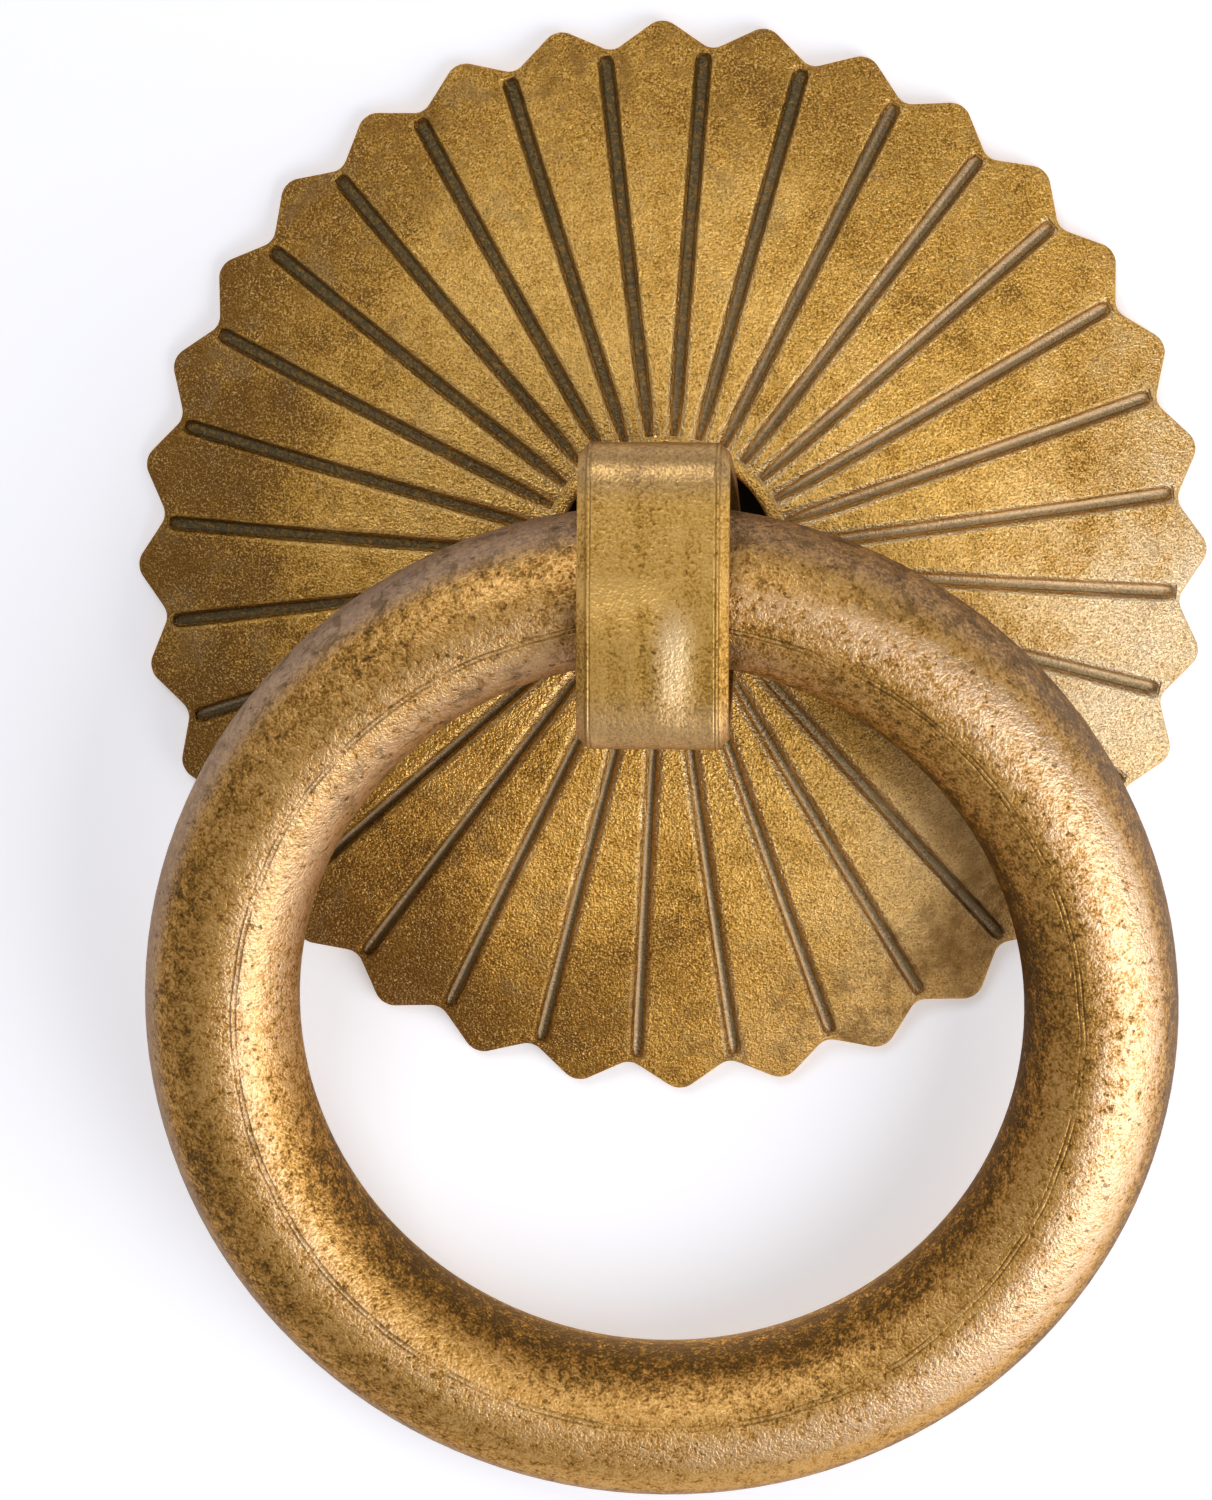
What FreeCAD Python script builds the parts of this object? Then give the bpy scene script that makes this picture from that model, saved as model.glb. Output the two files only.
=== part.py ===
import FreeCAD, Part
import math
import os

from FreeCAD import Vector

# Ring pull handle: a domed, grooved rosette, a heavy round ring that hangs
# in front of it, and a strap folded round the ring whose two legs pass back
# through the hole in the middle of the rosette.
# Millimetres. +X is right, +Z is up and -Y faces the person at the drawer.
# The origin is on the mounting surface, at the middle of the rosette.
# "Out" is the distance from the mounting surface towards -Y, and angles on
# the rosette run anticlockwise from +X as seen from the front.

# Toothed edge of the rosette
TOOTH_COUNT = 32
TIP_RADIUS = 31.75
TOOTH_HEIGHT = 1.55
TIP_ROUND = 1.2
VALLEY_ROUND = 1.0
FIRST_TIP_ANGLE = 1.3
EDGE_ROUND = 0.35

# Dome of the rosette
DOME_HEIGHT = 6.9
EDGE_THICKNESS = 1.3
SHELL_THICKNESS = 1.5
LAND_WIDTH = 1.2
HOLE_CLEARANCE = 0.1
HOLE_LIP = 0.3

# Grooves, one running in from each valley
GROOVE_DEPTH = 0.4
GROOVE_WALL_RUN = 0.22
GROOVE_TURN = 0.8
GROOVE_EDGE_GAP = 0.35
GROOVE_HOLE_GAP = 0.9
GROOVE_POINT_LENGTH = 2.0
GROOVE_POINT_WIDTH = 0.1
GROOVE_INNER_WIDTH = 0.35
GROOVE_OUTER_WIDTH = 0.5
GROOVE_END_LENGTH = 0.4
GROOVE_END_WIDTH = 0.2
GROOVE_WIDTH_SWING = 0.2
GROOVE_WIDEST_ANGLE = 85.0

# Ring
RING_RADIUS = 25.2
TUBE_RADIUS = 4.4
RING_GAP = 2.05

# Strap
STRAP_WIDTH = 8.3
STRAP_THICKNESS = 1.3
LOOP_ROOM_OUT = 0.85
LOOP_ROOM_UP = 3.5
LOOP_DROP = 1.55
FRONT_CROWN = 0.45
CROWN_ROUND = 60.0
CORNER_ROUND = 2.2
NECK_ROOM = 0.8
NECK_ROUND = 6.0
STRAP_BEVEL = 0.6
LEG_GAP = 0.2
LEG_BEND_ROUND = 4.0
MEET_DEPTH = 4.0
LEG_LENGTH = 30.0

# Places that follow from the sizes above
VALLEY_RADIUS = TIP_RADIUS - TOOTH_HEIGHT
PITCH_ANGLE = 360.0 / TOOTH_COUNT
DOME_RISE = DOME_HEIGHT - EDGE_THICKNESS
DOME_RADIUS = (VALLEY_RADIUS ** 2 + DOME_RISE ** 2) / (2 * DOME_RISE)
PIVOT_OUT = DOME_HEIGHT + RING_GAP + TUBE_RADIUS
FRONT_OUT = PIVOT_OUT + TUBE_RADIUS + LOOP_ROOM_OUT + STRAP_THICKNESS
CORNER_OUT = FRONT_OUT - FRONT_CROWN
LOOP_HALF_HEIGHT = TUBE_RADIUS + LOOP_ROOM_UP + STRAP_THICKNESS
NECK_HALF_HEIGHT = TUBE_RADIUS + NECK_ROOM
LEG_HALF_HEIGHT = LEG_GAP / 2 + STRAP_THICKNESS
NECK_SIDE_CORNER = math.hypot(STRAP_WIDTH / 2, NECK_HALF_HEIGHT - STRAP_BEVEL)
NECK_TOP_CORNER = math.hypot(STRAP_WIDTH / 2 - STRAP_BEVEL, NECK_HALF_HEIGHT)
HOLE_RADIUS = max(NECK_SIDE_CORNER, NECK_TOP_CORNER) + HOLE_CLEARANCE
PIVOT_DROP = LOOP_DROP * (PIVOT_OUT - DOME_HEIGHT) / (CORNER_OUT - DOME_HEIGHT)
RING_LEAN = math.asin((PIVOT_OUT - TUBE_RADIUS) / (2 * RING_RADIUS))

BACK = Vector(0, 1, 0)
OUTWARD = Vector(0, -1, 0)
ORIGIN = Vector(0, 0, 0)


def spoke(angle):
    """Unit vector from the middle of the rosette towards this angle."""
    turn = math.radians(angle)
    return Vector(math.cos(turn), 0, math.sin(turn))


def turned(shape, angle):
    """Copy of a shape, turned about the rosette's axis by this angle."""
    copy = shape.copy()
    copy.rotate(ORIGIN, OUTWARD, angle)
    return copy


def mirrored(point):
    """Point on the other side of the spoke at angle zero."""
    return Vector(point.x, point.y, -point.z)


def tooth_outline():
    """Closed outline of the teeth: round tips and valleys joined by straight flanks."""
    tip_centre = Vector(TIP_RADIUS - TIP_ROUND, 0, 0)
    valley_centre = spoke(PITCH_ANGLE / 2) * (VALLEY_RADIUS + VALLEY_ROUND)
    between = valley_centre - tip_centre
    spread = math.acos((TIP_ROUND + VALLEY_ROUND) / between.Length)
    side = spoke(math.degrees(math.atan2(between.z, between.x) - spread))
    tip_end = tip_centre + side * TIP_ROUND
    valley_end = valley_centre - side * VALLEY_ROUND
    valley_low = spoke(PITCH_ANGLE / 2) * VALLEY_RADIUS
    next_flank = turned(Part.makeLine(mirrored(valley_end), mirrored(tip_end)), PITCH_ANGLE)
    valley_next = next_flank.Vertexes[0].Point
    tooth = [
        Part.Arc(mirrored(tip_end), Vector(TIP_RADIUS, 0, 0), tip_end).toShape(),
        Part.makeLine(tip_end, valley_end),
        Part.Arc(valley_end, valley_low, valley_next).toShape(),
        next_flank,
    ]
    edges = []
    for number in range(TOOTH_COUNT):
        angle = FIRST_TIP_ANGLE + number * PITCH_ANGLE
        edges.extend(turned(edge, angle) for edge in tooth)
    return Part.Wire(edges)


def dome_blank():
    """Hollow dome with a flat land behind its toothed edge."""
    centre = Vector(0, DOME_RADIUS - DOME_HEIGHT, 0)
    teeth = Part.Face(tooth_outline()).extrude(OUTWARD * DOME_HEIGHT)
    blank = teeth.common(Part.makeSphere(DOME_RADIUS, centre, BACK))
    core = Part.makeCylinder(VALLEY_RADIUS - LAND_WIDTH, DOME_HEIGHT, ORIGIN, OUTWARD)
    hollow = Part.makeSphere(DOME_RADIUS - SHELL_THICKNESS, centre, BACK)
    return blank.cut(core.common(hollow))


def front_edges(shape, inner, outer):
    """Edges of the shape's front surface that lie between two radii."""
    found = []
    for edge in shape.Edges:
        ends = [vertex.Point for vertex in edge.Vertexes]
        radii = [math.hypot(point.x, point.z) for point in ends]
        raised = all(point.y < -EDGE_THICKNESS / 4 for point in ends)
        if raised and min(radii) > inner and max(radii) < outer:
            found.append(edge)
    return found


def groove_section(radius, width):
    """Groove's cross-section at this radius: a flat floor and two leaning walls."""
    tilt = math.asin(radius / DOME_RADIUS)
    normal = Vector(math.sin(tilt), -math.cos(tilt), 0)
    across = Vector(0, 0, 1)
    centre = Vector(0, DOME_RADIUS - DOME_HEIGHT, 0)
    surface = centre + normal * DOME_RADIUS
    floor = surface - normal * GROOVE_DEPTH
    above = surface + normal * GROOVE_DEPTH
    half = width / 2
    half_above = half + 2 * GROOVE_WALL_RUN
    return Part.makePolygon([
        floor - across * half,
        floor + across * half,
        above + across * half_above,
        above - across * half_above,
        floor - across * half,
    ])


def groove(angle):
    """Solid that is cut away for the groove at this angle."""
    swing = math.cos(math.radians(angle - GROOVE_WIDEST_ANGLE))
    share = 1 + GROOVE_WIDTH_SWING * swing
    start = HOLE_RADIUS + GROOVE_HOLE_GAP
    full = start + GROOVE_POINT_LENGTH
    end = VALLEY_RADIUS - GROOVE_EDGE_GAP
    taper = end - GROOVE_END_LENGTH
    middle = (full + taper) / 2
    middle_width = (GROOVE_INNER_WIDTH + GROOVE_OUTER_WIDTH) / 2
    stations = [
        (start, GROOVE_POINT_WIDTH),
        (full, GROOVE_INNER_WIDTH),
        ((full + middle) / 2, (GROOVE_INNER_WIDTH + middle_width) / 2),
        (middle, middle_width),
        ((middle + taper) / 2, (middle_width + GROOVE_OUTER_WIDTH) / 2),
        (taper, GROOVE_OUTER_WIDTH),
        (end, GROOVE_END_WIDTH),
    ]
    sections = [groove_section(radius, width * share) for radius, width in stations]
    return turned(Part.makeLoft(sections, True, True), angle)


def rosette():
    """Domed plate with a toothed edge, a hole in the middle and radial grooves."""
    plate = dome_blank()
    rim = front_edges(plate, VALLEY_RADIUS - LAND_WIDTH, TIP_RADIUS + 1)
    plate = plate.makeFillet(EDGE_ROUND, rim)
    plate = plate.cut(Part.makeCylinder(HOLE_RADIUS, DOME_HEIGHT, ORIGIN, OUTWARD))
    lip = front_edges(plate, HOLE_RADIUS - HOLE_LIP, HOLE_RADIUS + HOLE_LIP)
    front = min(lip, key=lambda edge: edge.Vertexes[0].Y)
    plate = plate.makeFillet(HOLE_LIP, [front])
    first_valley = FIRST_TIP_ANGLE + PITCH_ANGLE / 2 + GROOVE_TURN
    grooves = [groove(first_valley + k * PITCH_ANGLE) for k in range(TOOTH_COUNT)]
    return plate.cut(Part.Compound(grooves))


def ring():
    """Round ring, leaning back until its lowest point meets the mounting surface."""
    down = Vector(0, math.sin(RING_LEAN), -math.cos(RING_LEAN))
    across = Vector(0, math.cos(RING_LEAN), math.sin(RING_LEAN))
    pivot = Vector(0, -PIVOT_OUT, -PIVOT_DROP)
    return Part.makeTorus(RING_RADIUS, TUBE_RADIUS, pivot + down * RING_RADIUS, across)


def strap_side(thickness_share):
    """Corners of the strap, seen from the side, this share of its thickness inside."""
    inside = STRAP_THICKNESS * thickness_share
    outer = [
        (-LEG_LENGTH, LEG_HALF_HEIGHT, 0),
        (-MEET_DEPTH, LEG_HALF_HEIGHT, LEG_BEND_ROUND + inside),
        (DOME_HEIGHT, NECK_HALF_HEIGHT, NECK_ROUND + inside),
        (CORNER_OUT, LOOP_HALF_HEIGHT - LOOP_DROP, CORNER_ROUND - inside),
        (FRONT_OUT, -LOOP_DROP, CROWN_ROUND - inside),
        (CORNER_OUT, -LOOP_HALF_HEIGHT - LOOP_DROP, CORNER_ROUND - inside),
        (DOME_HEIGHT, -NECK_HALF_HEIGHT, NECK_ROUND + inside),
        (-MEET_DEPTH, -LEG_HALF_HEIGHT, LEG_BEND_ROUND + inside),
        (-LEG_LENGTH, -LEG_HALF_HEIGHT, 0),
    ]
    points = [Vector(0, -out, up) for out, up, _ in outer]
    rounds = [radius for _, _, radius in outer]
    return list(zip(inset(points, inside), rounds))


def inset(points, distance):
    """Open outline moved sideways, towards its right-hand side in the YZ plane."""
    runs = [(b - a).normalize() for a, b in zip(points, points[1:])]
    sides = [Vector(0, -run.z, run.y) for run in runs]
    moved = [points[0] + sides[0] * distance]
    for point, before, after in zip(points[1:-1], sides, sides[1:]):
        half_turn = (before + after).normalize()
        moved.append(point + half_turn * (distance / half_turn.dot(before)))
    moved.append(points[-1] + sides[-1] * distance)
    return moved


def rounded_outline(corners):
    """Closed wire through the corners, each rounded by its own radius."""
    edges = []
    ends = []
    for number, (point, radius) in enumerate(corners):
        before = (corners[number - 1][0] - point).normalize()
        after = (corners[(number + 1) % len(corners)][0] - point).normalize()
        if radius == 0:
            ends.append((point, point))
            continue
        half = before.getAngle(after) / 2
        reach = radius / math.tan(half)
        middle = (before + after).normalize()
        nearest = point + middle * (radius / math.sin(half) - radius)
        first, last = point + before * reach, point + after * reach
        edges.append(Part.Arc(first, nearest, last).toShape())
        ends.append((first, last))
    for number, (start, _) in enumerate(ends):
        edges.append(Part.makeLine(ends[number - 1][1], start))
    return Part.Wire(Part.__sortEdges__(edges))


def strap():
    """Bevelled strip, folded into a loop round the ring, with its two legs together."""
    outline = rounded_outline(strap_side(0) + strap_side(1)[::-1])
    outline.translate(Vector(-STRAP_WIDTH / 2, 0, 0))
    strip = Part.Face(outline).extrude(Vector(STRAP_WIDTH, 0, 0))
    outer = rounded_outline(strap_side(0))
    bevelled = []
    for edge in strip.Edges:
        middle = edge.valueAt((edge.FirstParameter + edge.LastParameter) / 2)
        flat = Part.Vertex(Vector(0, middle.y, middle.z))
        on_outside = outer.distToShape(flat)[0] < LEG_GAP / 4
        along = abs(edge.Vertexes[0].X - edge.Vertexes[-1].X) < LEG_GAP
        on_tip = abs(middle.y - LEG_LENGTH) < LEG_GAP
        if on_outside and along and not on_tip:
            bevelled.append(edge)
    return strip.makeChamfer(STRAP_BEVEL, bevelled)


def main():
    os.makedirs("parts", exist_ok=True)
    for name, shape in (("rosette", rosette()), ("ring", ring()), ("strap", strap())):
        shape.exportStep("parts/" + name + ".step")


main()
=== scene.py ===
import math

import bpy
from bpy.props import FloatProperty, FloatVectorProperty, PointerProperty
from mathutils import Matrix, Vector


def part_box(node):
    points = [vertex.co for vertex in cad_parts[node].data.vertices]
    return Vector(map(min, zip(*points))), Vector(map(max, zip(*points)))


bl_info = {
    "name": "Ring Pull Handle",
    "version": (1, 0, 0),
    "blender": (4, 5, 0),
    "location": "3D View > Sidebar > Ring Pull",
    "description": "Gives a ring pull handle its aged brass and stands it on a pale board",
    "category": "Object",
}

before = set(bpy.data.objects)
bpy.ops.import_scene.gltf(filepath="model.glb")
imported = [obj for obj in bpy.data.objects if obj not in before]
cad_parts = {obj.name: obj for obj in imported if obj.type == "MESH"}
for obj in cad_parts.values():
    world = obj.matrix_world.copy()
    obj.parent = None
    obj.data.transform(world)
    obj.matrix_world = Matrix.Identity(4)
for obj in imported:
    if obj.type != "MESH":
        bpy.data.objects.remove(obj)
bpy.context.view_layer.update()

MM = 0.001
TOOTH_COUNT = 32
PITCH = 2 * math.pi / TOOTH_COUNT
LAMP_AIM = (0.0, -0.008, -0.012)


def length(name, description, default):
    """Property for a length in metres."""
    return FloatProperty(name=name, description=description, default=default, min=0.0,
                         precision=5, subtype="DISTANCE", unit="LENGTH")


def angle(name, description, degrees):
    """Property for an angle, given here in degrees."""
    return FloatProperty(name=name, description=description, default=math.radians(degrees),
                         subtype="ANGLE", unit="ROTATION")


def colour(name, description, default):
    """Property for a linear colour."""
    return FloatVectorProperty(name=name, description=description, default=default, size=3,
                               min=0.0, max=1.0, subtype="COLOR")


def amount(name, description, default, high=1.0):
    """Property for a plain number from zero up."""
    return FloatProperty(name=name, description=description, default=default, min=0.0,
                         max=high, subtype="FACTOR" if high == 1.0 else "NONE")


class RingPullSizes(bpy.types.PropertyGroup):
    """Places on the solids that the finishes follow."""

    dome_radius: length("Dome radius",
                        "Radius of the sphere that the front of the dome is part of", 0.084232)
    dome_height: length("Dome height", "Height of the dome above the board, at its middle", 0.0069)
    hole_radius: length("Hole radius", "Radius of the hole in the middle of the rosette", 0.0064)
    valley_radius: length("Valley radius",
                          "Distance of the valleys between the teeth from the middle", 0.0302)
    first_groove: angle("First groove", "Angle of the first groove, anticlockwise from the right", 7.725)
    groove_width: length("Groove width", "Usual width of a groove at the surface of the dome", 0.0009)
    ring_radius: length("Ring radius",
                        "Distance from the ring's middle to the middle of its round section", 0.0252)
    tube_radius: length("Tube radius", "Radius of the ring's round section", 0.0044)
    ring_lean: angle("Ring lean", "How far the ring leans back at rest", 10.23)
    parting_line: length("Parting line", "How far inside the ring's front the casting line runs", 0.0013)
    strap_front: length("Strap front", "Distance of the strap's front from the board", 0.0199)
    strap_half_width: length("Strap half width", "Half of the strap's width", 0.00415)


class RingPullColours(bpy.types.PropertyGroup):
    """Colours and textures of the aged brass."""

    petal_gold: colour("Petal brass", "Golden brass of the petals", (1.0, 0.60, 0.155))
    # Painted highlight: pale brass put where the lamps' highlights fall on the petals, the groove floors
    # and the strap
    petal_highlight: colour("Petal highlight brass", "Pale brass painted where the petals, groove floors and strap catch the most light", (1.0, 0.78, 0.50))
    petal_brown: colour("Petal patina", "Brown patina over the petals", (0.58, 0.30, 0.038))
    petal_spark: colour("Petal sparkle", "Bright grains on the blasted petals", (1.0, 0.68, 0.26))
    petal_haze: colour("Petal haze", "Greyish brown clouds on the petals", (0.30, 0.20, 0.095))
    # Also the colour of the ring's painted shadow on the petals
    petal_dark: colour("Petal stain and shadow", "Darkest stains and painted shadow on the petals", (0.22, 0.10, 0.016))
    # Groove floor colours: painted shade at the upper left and below, painted light at the lower right
    floor_dark: colour("Dark groove floor",
                       "Olive grey floor of the grooves at the upper left", (0.155, 0.125, 0.065))
    floor_pale: colour("Pale groove floor",
                       "Olive brown floor of the grooves at the lower right", (0.42, 0.32, 0.18))
    # Painted shade in the corners of the grooves
    groove_corner_shade: colour("Groove corner", "Painted shade in the corners of the grooves", (0.05, 0.03, 0.010))
    ring_gold: colour("Ring brass", "Golden brass on the front of the ring", (0.76, 0.45, 0.15))
    # Painted highlight colour of the ring, also used on the strap's low bend
    ring_highlight: colour("Ring highlight brass", "Pale brass painted where the ring's highlight falls, also on the strap's low bend", (0.76, 0.53, 0.335))
    ring_brown: colour("Ring patina", "Brown patina over the ring", (0.50, 0.25, 0.045))
    # Painted reflection of the board on the ring's outer flank
    ring_flank_reflection: colour("Ring flank reflection",
                      "Greyish pink painted reflection of the board on the outer flank of the ring", (0.42, 0.305, 0.225))
    ring_dark: colour("Ring stain", "Darkest mottles on the flanks of the ring", (0.12, 0.065, 0.018))
    strap_gold: colour("Strap brass", "Golden brass of the strap", (0.84, 0.51, 0.15))
    # Painted reflection of the dark room on the strap's top bend
    strap_bend_reflection: colour("Strap bend reflection", "Greyish pink painted reflection of the dark room on the strap's top bend", (0.40, 0.28, 0.18))
    strap_brown: colour("Strap patina", "Brown patina over the strap", (0.52, 0.28, 0.045))
    # Also used as painted shade on the strap's legs inside the hole
    back_brown: colour("Back patina",
                       "Dull brown of the faces that are turned to the board", (0.22, 0.14, 0.07))
    petal_roughness: amount("Petal roughness", "Roughness of the blasted petals", 0.43)
    ring_roughness: amount("Ring roughness", "Roughness of the satin ring", 0.49)
    strap_roughness: amount("Strap roughness", "Roughness of the satin strap", 0.42)


class RingPullStage(bpy.types.PropertyGroup):
    """Camera, lamps and board."""

    camera_place: FloatVectorProperty(name="Camera place", description="Where the camera stands",
                                      default=(0.01148, -0.215, 0.01200),
                                      subtype="TRANSLATION", unit="LENGTH")
    camera_turn: FloatVectorProperty(name="Camera turn", description="How the camera is turned",
                                     default=tuple(math.radians(a) for a in (88.261, -0.374, 1.265)),
                                     subtype="EULER", unit="ROTATION")
    camera_shift: FloatVectorProperty(name="Camera shift",
                                      description="How far the view is moved across the frame",
                                      default=(-0.12, -0.19), size=2)
    camera_lens: FloatProperty(name="Camera lens", description="Focal length in millimetres", default=86.83)
    key_power: amount("Key power", "Power of the large soft lamp at the lower right, in watts", 0.39, 100.0)
    fill_power: amount("Fill power", "Power of the soft lamp at the upper left, in watts", 1.0, 100.0)
    rear_power: amount("Rear power", "Power of the lamp behind the board, in watts", 5.0, 100.0)
    room_colour: colour("Room colour", "Light from the room in front of the board", (0.32, 0.315, 0.33))
    wall_colour: colour("Wall colour", "Light from behind the board", (0.86, 0.85, 0.88))
    board_colour: colour("Board colour", "Colour of the white board", (0.815, 0.825, 0.885))
    board_glow: amount("Board glow",
                       "White that the camera and the metal see on top of the light on the board", 0.32)


class Finish:
    """The nodes of one material, added and joined one by one."""

    def __init__(self, name):
        self.material = bpy.data.materials.new(name)
        self.material.use_nodes = True
        self.tree = self.material.node_tree
        self.tree.nodes.clear()

    def add(self, kind, inputs=(), output=0, **settings):
        """Adds a node, feeds its inputs by name or number and returns one of its outputs."""
        made = self.tree.nodes.new("ShaderNode" + kind)
        for name, value in settings.items():
            setattr(made, name, value)
        pairs = inputs.items() if isinstance(inputs, dict) else enumerate(inputs)
        for key, value in pairs:
            if isinstance(value, bpy.types.NodeSocket):
                self.tree.links.new(value, made.inputs[key])
            elif value is not None:
                made.inputs[key].default_value = value
        return made.outputs[output]

    def calc(self, kind, first, second=None):
        """One step of arithmetic."""
        return self.add("Math", (first, second), operation=kind)

    def plus(self, first, second):
        """Sum of two values."""
        return self.calc("ADD", first, second)

    def minus(self, first, second):
        """First value less the second."""
        return self.calc("SUBTRACT", first, second)

    def times(self, first, second):
        """Product of two values."""
        return self.calc("MULTIPLY", first, second)

    def over(self, first, second):
        """First value divided by the second."""
        return self.calc("DIVIDE", first, second)

    def larger(self, first, second):
        """The larger of two values."""
        return self.calc("MAXIMUM", first, second)

    def without_sign(self, value):
        """How far a value is from zero."""
        return self.calc("ABSOLUTE", value)

    def dot(self, place, direction):
        """How far a place lies along a direction."""
        return self.add("VectorMath", (place, direction), output=1, operation="DOT_PRODUCT")

    def distance(self, place, other):
        """Distance between two places."""
        return self.add("VectorMath", (place, other), output=1, operation="DISTANCE")

    def from_origin(self, place):
        """Distance of a place from the part's origin."""
        return self.add("VectorMath", (place,), output=1, operation="LENGTH")

    def layered(self, value, *layers):
        """Adds noises to a value, each given with its gain and taken as zero at its middle."""
        for noise, gain in layers:
            value = self.plus(value, self.times(self.minus(noise, 0.5), gain))
        return value

    def step(self, value, low, high, first=0.0, last=1.0):
        """Smooth step from first, where value is at low, to last, where it is at high."""
        return self.add("MapRange", {"Value": value, "From Min": low, "From Max": high,
                                     "To Min": first, "To Max": last}, interpolation_type="SMOOTHSTEP")

    def noise(self, place, scale, detail=2.0, roughness=0.5, distortion=0.0):
        """Soft noise whose features are about one over scale millimetres wide."""
        return self.add("TexNoise", {"Vector": place, "Scale": scale, "Detail": detail,
                                     "Roughness": roughness, "Distortion": distortion})

    def mix(self, share, first, second, blend="MIX"):
        """Colour between two colours."""
        return self.add("Mix", {0: share, 6: tuple(first) + (1.0,) if not_socket(first) else first,
                                7: tuple(second) + (1.0,) if not_socket(second) else second},
                        output=2, data_type="RGBA", blend_type=blend)

    def place(self):
        """Place on the part in millimetres, which moves with the piece."""
        spot = self.add("TexCoord", output=3)
        return self.add("VectorMath", {0: spot, 3: 1000.0}, operation="SCALE")

    def brass(self, colour_socket, roughness, height, grain_depth, edge_round):
        """Ends the material in brass with a bumpy surface and, where it has edges, rounded ones."""
        rounded = self.add("Bevel", {"Radius": edge_round * MM}, samples=4) if edge_round else None
        bump = self.add("Bump", {"Strength": 1.0, "Distance": grain_depth * MM, "Height": height,
                                 "Normal": rounded})
        surface = self.add("BsdfPrincipled", {"Base Color": colour_socket, "Metallic": 1.0,
                                              "Roughness": roughness, "Normal": bump,
                                              "Specular Tint": (0.45, 0.38, 0.34, 1.0),
                                              "Coat Weight": 0.15, "Coat Roughness": 0.30,
                                              "Coat IOR": 1.5, "Coat Normal": bump})
        return self.end(surface)

    def end(self, surface):
        """Sends the surface to the material's output and returns the material."""
        output = self.tree.nodes.new("ShaderNodeOutputMaterial")
        self.tree.links.new(surface, output.inputs["Surface"])
        return self.material


def not_socket(value):
    """True for a plain value, false for the output of a node."""
    return not isinstance(value, bpy.types.NodeSocket)


def give(node_name, material):
    """Puts the material in every slot of a piece."""
    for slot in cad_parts[node_name].material_slots:
        slot.material = material


def painted_ring_shadow(f, flat, x, blotches):
    """Painted shadow of the ring on the petals just outside the ring, at the lower right, and at one tooth.
    """
    from_ring = f.distance(flat, (-0.5, 0.0, -27.0))
    ring_shadow = f.times(f.step(from_ring, 18.2, 20.6), f.step(from_ring, 26.0, 23.0))
    ring_shadow = f.times(ring_shadow, f.step(x, 4.0, 10.0))
    tooth = f.distance(flat, (18.6, 0.0, -22.4))
    ring_shadow = f.larger(ring_shadow, f.step(tooth, 5.5, 1.5))
    return f.times(ring_shadow, f.step(blotches, 0.3, 0.7, 0.45, 0.75))


def petal_stains(f, reach, z, low_right, blotches):
    """Dark stains towards the teeth."""
    stains = f.larger(f.step(low_right, 14.0, -12.0, 0.3, 1.0), f.step(z, -12.0, -20.0))
    stains = f.times(stains, f.step(reach, 20.0, 29.0))
    return f.times(stains, f.step(blotches, 0.42, 0.66))


def groove_floor(f, spot, z, low_right, lit_side, colours):
    """Colour of the grooves' floors, with painted shade towards the upper left and in the lower half, and
    how far the floors get a painted highlight on their lit side.
    """
    dust = f.noise(spot, 4.6, 2.0, 0.6)
    # Painted shade towards the upper left, painted light towards the lower right
    floor = f.mix(f.step(low_right, -14.0, 16.0), colours.floor_dark, colours.floor_pale)
    floor = f.mix(f.step(dust, 0.42, 0.70, 0.0, 0.5), floor, colours.petal_brown)
    # Painted shade on the floors in the lower half
    floor = f.mix(f.step(z, -2.0, -10.0, 0.0, 0.6), floor, colours.floor_dark)
    # Painted highlight on the floor's lit side
    painted_light = f.larger(f.step(low_right, -8.0, 8.0, 0.0, 0.8), f.step(z, -4.0, -12.0, 0.0, 0.65))
    painted_light = f.times(f.step(lit_side, -0.04, 0.12), painted_light)
    return f.mix(painted_light, floor, colours.petal_highlight), painted_light


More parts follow.
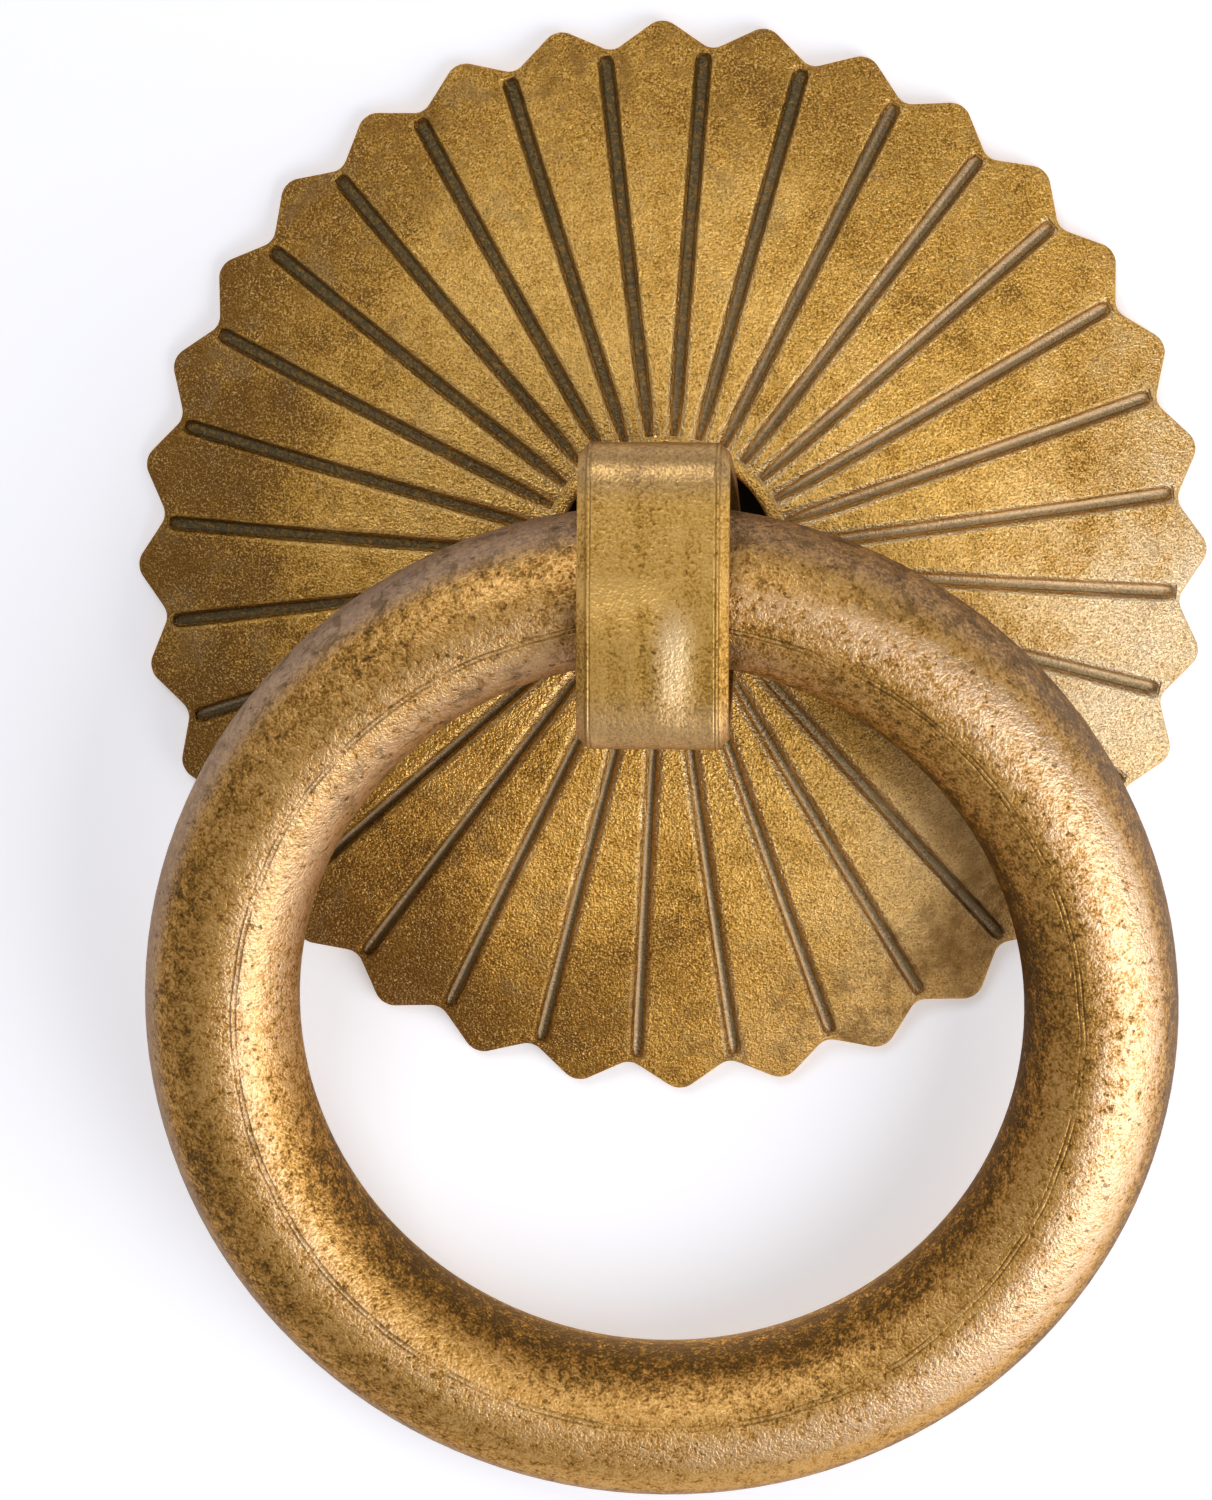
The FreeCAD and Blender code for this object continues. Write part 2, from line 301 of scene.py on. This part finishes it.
def blasted_petals(sizes, colours):
    """Matte blasted brass for the rosette, with brown patina, dusty grooves, and painted light and shade on
    the petals and in the grooves.
    """
    f = Finish("blasted_petals")
    spot = f.place()
    x, y, z = (f.add("SeparateXYZ", (spot,), output=k) for k in range(3))
    flat = f.add("CombineXYZ", (x, 0.0, z))
    reach = f.from_origin(flat)
    low_right = f.dot(flat, (0.88, 0.0, -0.47))
    dome = sizes.dome_radius / MM
    middle = (0.0, dome - sizes.dome_height / MM, 0.0)
    from_middle = f.distance(spot, middle)
    depth = f.minus(dome, from_middle)

    turn = f.calc("ARCTAN2", z, x)
    count = f.over(f.minus(turn, sizes.first_groove), PITCH)
    nearest = f.calc("ROUND", count)
    beside = f.times(f.minus(count, nearest), f.times(reach, PITCH))
    shelter = f.over(f.dot(flat, (0.6, 0.0, 0.8)), reach)
    lit_side = f.times(beside, shelter)
    beside = f.without_sign(beside)
    petal = f.add("TexWhiteNoise", {"W": f.calc("FLOOR", count)}, noise_dimensions="1D")

    on_front = f.step(depth, 1.0, 0.8)
    within = f.times(f.step(reach, sizes.hole_radius / MM + 0.7, sizes.hole_radius / MM + 0.9),
                     f.step(reach, sizes.valley_radius / MM - 0.2, sizes.valley_radius / MM - 0.35))
    within = f.times(within, on_front)
    half = sizes.groove_width / MM / 2
    on_floor = f.times(f.step(depth, 0.28, 0.39), within)
    # Painted shade in the corners of the groove floors
    corner = f.times(on_floor, f.step(beside, half * 0.40, half * 0.60))
    lip = f.times(f.step(beside, half + 0.3, half), f.times(within, f.step(depth, 0.2, 0.05)))

    # Noises from coarse to fine
    clouds = f.noise(spot, 0.16, 4.0, 0.6, 0.4)
    blotches = f.noise(spot, 0.6, 5.0, 0.65)
    grain = f.noise(spot, 5.0, 2.0, 0.6)
    specks = f.noise(spot, 8.5, 1.0, 0.5)

    # Wear and painted light, high where the brass is bright: noise and brighter lips for the wear, painted
    # highlight towards the lower right, painted shade towards the left, brighter towards the middle and the
    # upper left, darker towards the lower left
    left = f.dot(flat, (-0.98, 0.0, -0.20))
    # Painted highlight: pale brass towards the lower right, where the key lamp's highlight falls
    painted_highlight = f.times(f.step(low_right, 11.0, 27.0), f.step(z, -20.0, -8.0, 0.35, 1.0))
    # Brighter towards the middle; painted highlight towards the lower right
    wear_and_light = f.plus(f.step(reach, 31.5, 9.0, -0.08, 0.22), f.step(low_right, -5.0, 28.0, 0.0, 0.10))
    # Painted shade towards the left, away from the key lamp
    wear_and_light = f.plus(wear_and_light, f.times(f.step(left, 5.0, 25.0), f.step(reach, 13.0, 26.0, 0.0, -0.42)))
    wear_and_light = f.plus(wear_and_light, f.times(f.step(z, -12.0, -24.0, 0.0, -0.16), f.step(x, 12.0, 4.0)))
    wear_and_light = f.plus(wear_and_light, f.times(f.step(low_right, 6.0, -10.0), f.step(reach, 27.0, 15.0, 0.0, 0.2)))
    wear_and_light = f.layered(wear_and_light, (clouds, 1.4), (blotches, 1.3), (grain, 0.7), (specks, 1.3), (petal, 0.08))
    wear_and_light = f.plus(wear_and_light, f.times(lip, f.step(z, -10.0, 0.0, 0.12, 0.35)))
    # Painted highlight on the lips towards the lower right, on the side that the key lamp lights
    painted_highlight = f.larger(painted_highlight, f.times(lip, f.step(low_right, -12.0, 8.0, 0.1, 0.6)))
    # Painted highlight, palest towards the lower right
    palest = f.dot(flat, (0.72, 0.0, -0.69))
    wear_and_light = f.plus(wear_and_light, f.times(painted_highlight, 0.1))
    wear_and_light = f.plus(wear_and_light, f.step(palest, 14.0, 25.0, 0.0, 0.4))

    # Colours of the petals
    # Painted highlight colour where the key lamp's highlight falls
    bright = f.mix(painted_highlight, colours.petal_gold, colours.petal_highlight)
    shade = f.mix(f.step(wear_and_light, -0.65, 0.1), colours.petal_dark, colours.petal_brown)
    shade = f.mix(f.step(wear_and_light, -0.35, 0.85), shade, bright)
    shade = f.mix(f.step(specks, 0.50, 0.70, 0.0, 0.45), shade, colours.petal_spark)
    pits = f.step(specks, 0.46, 0.34)
    shade = f.mix(f.times(pits, 0.3), shade, colours.petal_dark)
    stains = petal_stains(f, reach, z, low_right, blotches)
    shade = f.mix(f.times(stains, 0.7), shade, colours.petal_dark)
    # Painted shadow of the ring on the petals
    shade = f.mix(painted_ring_shadow(f, flat, x, blotches), shade, colours.petal_dark)
    haze = f.times(f.step(f.noise(spot, 0.32, 3.0, 0.6), 0.54, 0.68), f.step(reach, 12.0, 24.0, 0.3, 1.0))
    haze = f.times(haze, f.step(low_right, 20.0, 0.0, 0.4, 1.0))
    shade = f.mix(f.times(haze, 0.35), shade, colours.petal_haze)

    # Grooves and back
    floor, painted_light = groove_floor(f, spot, z, low_right, lit_side, colours)
    shade = f.mix(on_floor, shade, floor)
    # No painted corner shade on the side of the groove that the key lamp lights
    corner = f.times(corner, f.minus(1.0, painted_light))
    shade = f.mix(f.times(corner, 0.5), shade, colours.groove_corner_shade)
    back = f.mix(f.step(blotches, 0.35, 0.65, 0.0, 0.35), colours.back_brown, colours.petal_brown)
    back = f.mix(f.step(clouds, 0.45, 0.65, 0.0, 0.5), back, colours.petal_dark)
    shade = f.mix(f.step(depth, 1.15, 1.4), shade, back)

    # Gloss and bumps
    gloss = f.step(wear_and_light, -0.5, 0.7, colours.petal_roughness + 0.1, colours.petal_roughness - 0.06)
    gloss = f.plus(gloss, f.minus(f.times(on_floor, 0.15), f.times(lip, 0.1)))
    height = f.plus(f.times(grain, 1.4), f.times(blotches, 0.7))
    height = f.plus(height, f.times(specks, 1.0))
    slope = f.times(f.step(beside, half + 0.20, half - 0.16), within)
    height = f.minus(height, f.times(slope, 1.6))
    return f.brass(shade, gloss, height, 0.11, 0.25)


def ring_place(f, spot, sizes):
    """Height over the ring's plane, distance outside its middle line, and the ways out of its round section
    and out of its middle."""
    lean = sizes.ring_lean
    box_low, box_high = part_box("ring")
    middle = (Vector(box_low) + Vector(box_high)) / 2 / MM
    front = (0.0, -math.cos(lean), -math.sin(lean))
    offset = f.add("VectorMath", (spot, tuple(middle)), operation="SUBTRACT")
    height = f.dot(offset, front)
    lift = f.add("VectorMath", {0: front, 3: height}, operation="SCALE")
    in_plane = f.add("VectorMath", (offset, lift), operation="SUBTRACT")
    outside = f.from_origin(in_plane)
    outside = f.minus(outside, sizes.ring_radius / MM)
    unit = f.add("VectorMath", (in_plane,), operation="NORMALIZE")
    core = f.add("VectorMath", {0: unit, 3: sizes.ring_radius / MM}, operation="SCALE")
    out = f.add("VectorMath", (offset, core), operation="SUBTRACT")
    return height, outside, f.add("VectorMath", (out,), operation="NORMALIZE"), unit


def casting_line(f, spot, outside, front, sizes):
    """Faint double line round the ring, a little inside its front."""
    wander = f.times(f.minus(f.noise(spot, 0.25, 3.0), 0.5), 0.35)
    from_line = f.plus(f.plus(outside, sizes.parting_line / MM), wander)
    beside = f.without_sign(f.minus(f.without_sign(from_line), 0.13))
    facing = f.step(front, 0.3, 0.6)
    line = f.times(f.step(beside, 0.09, 0.02), facing)
    faint = f.step(f.noise(spot, 0.35, 2.0), 0.35, 0.6, 0.25, 1.0)
    return f.times(line, faint)


def satin_ring(sizes, colours):
    """Satin brass for the ring, mottled brown on its flanks, with a double casting line, painted highlight
    on its front and inner flank, and painted shade and reflection on its flanks.
    """
    f = Finish("satin_ring")
    spot = f.place()
    height, outside, out, unit = ring_place(f, spot, sizes)
    tube = sizes.tube_radius / MM
    front = f.over(height, tube)
    side = f.over(outside, tube)
    # How far the ring faces the way where the key lamp's highlight falls
    painted_light = f.dot(out, (0.37, -0.91, -0.16))
    low_right = f.dot(unit, (0.6, 0.0, -0.8))

    clouds = f.noise(spot, 0.12, 4.0, 0.6, 0.3)
    mottles = f.noise(spot, 1.3, 4.0, 0.7, 0.3)
    grain = f.noise(spot, 3.4, 2.0, 0.7)
    specks = f.noise(spot, 6.5, 1.0, 0.5)
    pits = f.step(f.noise(spot, 2.6, 1.0, 0.4), 0.32, 0.24)

    wear_and_light = f.step(front, -0.2, 1.0, -0.28, 0.16)
    # Painted shade on the inner flank towards the lower right of the ring, which is turned away from the
    # key lamp
    shaded_inner_flank = f.times(f.step(side, -0.55, -0.95), f.step(low_right, -0.6, 0.4))
    wear_and_light = f.plus(wear_and_light, f.times(shaded_inner_flank, -0.4))
    wear_and_light = f.layered(wear_and_light, (clouds, 0.7), (mottles, 1.9), (grain, 1.3), (specks, 1.4))
    right = f.dot(unit, (0.05, 0.0, 0.0))
    # Painted highlight band, where the key lamp's highlight falls
    pale = f.step(f.plus(painted_light, right), 0.87, 0.98, 0.0, 0.85)
    wear_and_light = f.plus(wear_and_light, f.times(pale, 0.25))
    # Painted light: the outer half of the tube lighter at the left of the ring and darker at the right
    painted_light_band = f.times(f.step(side, 0.05, 0.35), f.step(side, 0.85, 0.6))
    wear_and_light = f.plus(wear_and_light, f.times(painted_light_band, f.step(right, 0.0, -0.04, 0.15, -0.25)))
    # Painted shade on the outermost flank at the right and lower right of the ring
    edge = f.times(f.step(side, 0.7, 0.95), f.step(right, -0.01, 0.03, 0.0, -0.3))
    edge = f.times(edge, f.step(low_right, -0.6, 0.1))
    wear_and_light = f.plus(wear_and_light, edge)
    upper = f.dot(unit, (-0.1, 0.0, 1.0))
    # Painted highlight on the inner flank at the upper left of the ring, which faces the key lamp
    facing_key = f.times(f.step(side, -0.1, -0.75), f.step(low_right, -0.2, -0.85, 0.0, 0.4))
    wear_and_light = f.plus(wear_and_light, facing_key)
    upper_right = f.dot(unit, (0.7, 0.0, 0.7))
    # Painted shade over the upper right of the ring, apart from its outermost flank
    wear_and_light = f.plus(wear_and_light, f.times(f.step(upper_right, 0.4, 0.9, 0.0, -0.18), f.step(side, 0.8, 0.3)))

    # Colours of the ring
    # Painted highlight colour on the highlight band and on the inner flank that faces the key lamp
    bright = f.mix(f.larger(pale, f.times(facing_key, 1.7)), colours.ring_gold, colours.ring_highlight)
    shade = f.mix(f.step(wear_and_light, -0.7, 0.15), colours.ring_dark, colours.ring_brown)
    shade = f.mix(f.step(wear_and_light, -0.25, 0.6), shade, bright)
    # Painted reflection of the board on the outer flank at the left of the ring
    left_flank = f.times(f.step(side, 0.62, 0.88, 0.0, 0.75), f.step(right, 0.02, -0.03, 0.45, 1.0))
    shade = f.mix(left_flank, shade, colours.ring_flank_reflection)
    patches = f.times(f.step(f.noise(spot, 0.7, 5.0, 0.75, 0.5), 0.50, 0.60), f.step(upper, 0.25, 0.8))
    patches = f.times(patches, f.step(f.without_sign(side), 0.35, 0.75, 0.25, 1.0))
    shade = f.mix(f.times(patches, 0.55), shade, colours.ring_dark)

    shade = f.mix(f.step(front, -0.05, -0.6, 0.0, 0.7), shade, colours.back_brown)
    line = casting_line(f, spot, outside, front, sizes)
    shade = f.mix(f.times(line, 0.6), shade, colours.ring_dark)
    shade = f.mix(f.times(pits, 0.6), shade, colours.ring_dark)

    gloss = f.step(wear_and_light, -0.5, 0.7, colours.ring_roughness + 0.12, colours.ring_roughness - 0.05)
    bumps = f.plus(f.times(grain, 0.7), f.times(mottles, 0.8))
    bumps = f.plus(bumps, f.times(specks, 0.5))
    bumps = f.minus(bumps, f.times(line, 0.45))
    bumps = f.minus(bumps, f.times(pits, 0.5))
    return f.brass(shade, gloss, bumps, 0.085, 0.0)


def satin_strap(sizes, colours):
    """Satin brass for the strap, with faint marks along it and worn bevels."""
    f = Finish("satin_strap")
    spot = f.place()
    x, y, z = (f.add("SeparateXYZ", (spot,), output=k) for k in range(3))
    along = f.add("CombineXYZ", (x, f.times(y, 0.12), f.times(z, 0.12)))

    clouds = f.noise(spot, 0.22, 4.0, 0.6, 0.3)
    mottles = f.noise(spot, 1.1, 4.0, 0.65)
    streaks = f.noise(along, 0.9, 3.0, 0.6)
    grain = f.noise(spot, 3.6, 2.0, 0.7)
    specks = f.noise(spot, 6.6, 1.0, 0.5)

    beside = f.without_sign(x)
    half = sizes.strap_half_width / MM
    edge = f.step(beside, half - 0.75, half - 0.55)
    front = f.step(y, -10.0, -sizes.strap_front / MM + 1.2, -0.3, 0.10)
    wear_and_light = f.layered(front, (clouds, 0.8), (mottles, 0.6), (streaks, 0.7), (grain, 0.9), (specks, 1.3))
    # Painted highlight: a light band across the strap's front, on its left half
    painted_light_band = f.times(f.step(f.without_sign(f.plus(z, 0.9)), 1.3, 0.5), f.step(x, 1.2, -0.4))
    wear_and_light = f.plus(wear_and_light, f.times(painted_light_band, 0.3))
    shade = f.mix(f.step(wear_and_light, -0.65, 0.1), colours.ring_dark, colours.strap_brown)
    # Painted highlight: a soft upright patch right of the middle, in the strap's lower half
    painted_light = f.times(f.step(f.without_sign(f.minus(x, 1.2)), 1.7, 0.1),
                     f.step(f.without_sign(f.plus(z, 4.9)), 4.2, 1.0))
    wear_and_light = f.plus(wear_and_light, f.times(painted_light, 0.45))
    # Painted highlight colour in that patch
    bright = f.mix(f.times(painted_light, 0.55), colours.strap_gold, colours.petal_highlight)
    shade = f.mix(f.step(wear_and_light, -0.25, 0.5), shade, bright)
    # Painted reflection of the dark room on the top bend
    top_bend = f.step(z, 3.6, 5.6, 0.0, 0.45)
    shade = f.mix(top_bend, shade, colours.strap_bend_reflection)
    # Painted highlight on the low bend
    low_bend = f.step(z, -6.0, -8.5, 0.0, 0.35)
    shade = f.mix(low_bend, shade, colours.ring_highlight)

    from_bevel = f.without_sign(f.minus(beside, half - 0.62))
    twin = f.without_sign(f.minus(from_bevel, 0.12))
    line = f.times(f.step(twin, 0.08, 0.02), f.step(y, -8.0, -10.0))
    shade = f.mix(f.times(line, 0.35), shade, colours.ring_dark)
    # Painted shade on the legs inside the hole
    inside_hole = f.step(y, -7.0, -5.5)
    shade = f.mix(f.times(inside_hole, 0.5), shade, colours.back_brown)

    gloss = f.step(wear_and_light, -0.5, 0.7, colours.strap_roughness + 0.1, colours.strap_roughness - 0.05)
    gloss = f.plus(gloss, f.times(edge, 0.05))
    bumps = f.plus(f.times(grain, 0.6), f.times(streaks, 0.8))
    bumps = f.plus(bumps, f.times(mottles, 0.5))
    bumps = f.plus(bumps, f.times(specks, 0.4))
    bumps = f.minus(bumps, f.times(line, 0.6))
    ridge = f.times(f.step(x, 2.6, 0.0, 0.0, 6.5), f.step(z, 0.0, -4.0))
    ridge = f.times(ridge, f.step(z, -9.4, -6.0))
    bumps = f.plus(bumps, ridge)
    return f.brass(shade, gloss, bumps, 0.045, 0.14)


def white_board(stage):
    """White board that keeps the part's shadow and can't be seen from behind."""
    f = Finish("white_board")
    path = f.tree.nodes.new("ShaderNodeLightPath")
    reach = f.from_origin(f.place())
    # Black disc in the middle: painted shade of the hole that the strap's legs go into, with no glow
    hole_shade = f.step(reach, 8.6, 8.0)
    paper = f.mix(hole_shade, stage.board_colour, (0.01, 0.01, 0.01))
    seen = f.larger(path.outputs["Is Camera Ray"], path.outputs["Is Glossy Ray"])
    seen = f.larger(seen, path.outputs["Is Transmission Ray"])
    glow = f.times(f.times(seen, f.minus(1.0, hole_shade)), stage.board_glow)
    lit = f.add("BsdfDiffuse", {"Color": paper})
    glowing = f.add("Emission", {"Color": (1.0, 1.0, 1.0, 1.0), "Strength": glow})
    front = f.add("AddShader", (lit, glowing))
    clear = f.add("BsdfTransparent")
    behind = f.tree.nodes.new("ShaderNodeNewGeometry").outputs["Backfacing"]
    through = f.larger(behind, path.outputs["Is Shadow Ray"])
    return f.end(f.add("MixShader", (through, front, clear)))


def build_board(stage):
    """The board that the rosette lies against, 0.6 metres each way from the middle."""
    side = 0.6
    level = 0.0002
    corners = [(-side, level, -side), (side, level, -side), (side, level, side), (-side, level, side)]
    mesh = bpy.data.meshes.new("board")
    mesh.from_pydata(corners, [], [(0, 1, 2, 3)])
    mesh.materials.append(white_board(stage))
    board = bpy.data.objects.new("board", mesh)
    bpy.context.scene.collection.objects.link(board)


def soft_lamp(name, place, size, power):
    """Square soft lamp that points at the part."""
    data = bpy.data.lights.new(name, "AREA")
    data.shape = "SQUARE"
    data.size = size
    data.energy = power
    lamp = bpy.data.objects.new(name, data)
    lamp.location = place
    lamp.visible_camera = False
    aim = Vector(LAMP_AIM) - Vector(place)
    lamp.rotation_euler = aim.to_track_quat("-Z", "Y").to_euler()
    bpy.context.scene.collection.objects.link(lamp)


def build_room(stage):
    """World with a dim room in front of the board and a pale wall behind it."""
    world = bpy.data.worlds.new("room")
    world.use_nodes = True
    tree = world.node_tree
    tree.nodes.clear()
    spot = tree.nodes.new("ShaderNodeTexCoord")
    parts = tree.nodes.new("ShaderNodeSeparateXYZ")
    share = tree.nodes.new("ShaderNodeMapRange")
    share.interpolation_type = "SMOOTHSTEP"
    share.inputs["From Min"].default_value = -0.25
    share.inputs["From Max"].default_value = 0.25
    mix = tree.nodes.new("ShaderNodeMix")
    mix.data_type = "RGBA"
    mix.inputs[6].default_value = tuple(stage.room_colour) + (1.0,)
    mix.inputs[7].default_value = tuple(stage.wall_colour) + (1.0,)
    background = tree.nodes.new("ShaderNodeBackground")
    output = tree.nodes.new("ShaderNodeOutputWorld")
    tree.links.new(spot.outputs["Generated"], parts.inputs[0])
    tree.links.new(parts.outputs["Y"], share.inputs["Value"])
    tree.links.new(share.outputs[0], mix.inputs[0])
    tree.links.new(mix.outputs[2], background.inputs["Color"])
    tree.links.new(background.outputs[0], output.inputs["Surface"])
    bpy.context.scene.world = world


class RINGPULL_OT_finish_rosette(bpy.types.Operator):
    """Gives the rosette its blasted brass, dusty grooves and painted light and shade"""

    bl_idname = "ring_pull.finish_rosette"
    bl_label = "Finish the rosette"

    def execute(self, context):
        scene = context.scene
        give("rosette", blasted_petals(scene.ring_pull_sizes, scene.ring_pull_colours))
        return {"FINISHED"}


class RINGPULL_OT_finish_ring(bpy.types.Operator):
    """Gives the ring its satin brass and casting line"""

    bl_idname = "ring_pull.finish_ring"
    bl_label = "Finish the ring"

    def execute(self, context):
        scene = context.scene
        give("ring", satin_ring(scene.ring_pull_sizes, scene.ring_pull_colours))
        return {"FINISHED"}


class RINGPULL_OT_finish_strap(bpy.types.Operator):
    """Gives the strap its satin brass and worn bevels"""

    bl_idname = "ring_pull.finish_strap"
    bl_label = "Finish the strap"

    def execute(self, context):
        scene = context.scene
        give("strap", satin_strap(scene.ring_pull_sizes, scene.ring_pull_colours))
        return {"FINISHED"}


class RINGPULL_OT_set_stage(bpy.types.Operator):
    """Builds the board, the lamps, the room and the camera"""

    bl_idname = "ring_pull.set_stage"
    bl_label = "Set the stage"

    def execute(self, context):
        scene = context.scene
        stage = scene.ring_pull_stage
        build_board(stage)
        build_room(stage)
        soft_lamp("key_lamp", (0.141, -0.134, -0.106), 0.19, stage.key_power)
        soft_lamp("fill_lamp", (-0.15, -0.46, 0.30), 0.25, stage.fill_power)
        soft_lamp("rear_lamp", (-0.1, 0.5, 0.25), 0.4, stage.rear_power)
        data = bpy.data.cameras.new("camera")
        data.sensor_fit = "AUTO"
        data.sensor_width = 36.0
        data.lens = stage.camera_lens
        data.shift_x = stage.camera_shift[0]
        data.shift_y = stage.camera_shift[1]
        data.clip_start = 0.01
        camera = bpy.data.objects.new("camera", data)
        camera.location = stage.camera_place
        camera.rotation_euler = stage.camera_turn
        scene.collection.objects.link(camera)
        scene.camera = camera
        scene.view_settings.view_transform = "Standard"
        return {"FINISHED"}


class RINGPULL_PT_panel(bpy.types.Panel):
    """Lists the steps that dress the ring pull handle"""

    bl_idname = "RINGPULL_PT_panel"
    bl_label = "Ring pull handle"
    bl_space_type = "VIEW_3D"
    bl_region_type = "UI"
    bl_category = "Ring Pull"

    def draw(self, context):
        column = self.layout.column()
        for step in STEPS:
            column.operator(step.bl_idname)


GROUPS = (RingPullSizes, RingPullColours, RingPullStage)
STEPS = (
    RINGPULL_OT_finish_rosette,
    RINGPULL_OT_finish_ring,
    RINGPULL_OT_finish_strap,
    RINGPULL_OT_set_stage,
)


def register():
    for made in GROUPS + STEPS + (RINGPULL_PT_panel,):
        bpy.utils.register_class(made)
    bpy.types.Scene.ring_pull_sizes = PointerProperty(type=RingPullSizes)
    bpy.types.Scene.ring_pull_colours = PointerProperty(type=RingPullColours)
    bpy.types.Scene.ring_pull_stage = PointerProperty(type=RingPullStage)


def unregister():
    del bpy.types.Scene.ring_pull_stage
    del bpy.types.Scene.ring_pull_colours
    del bpy.types.Scene.ring_pull_sizes
    for made in reversed(GROUPS + STEPS + (RINGPULL_PT_panel,)):
        bpy.utils.unregister_class(made)


def main():
    register()
    bpy.ops.ring_pull.finish_rosette()
    bpy.ops.ring_pull.finish_ring()
    bpy.ops.ring_pull.finish_strap()
    bpy.ops.ring_pull.set_stage()


if __name__ == "__main__":
    main()
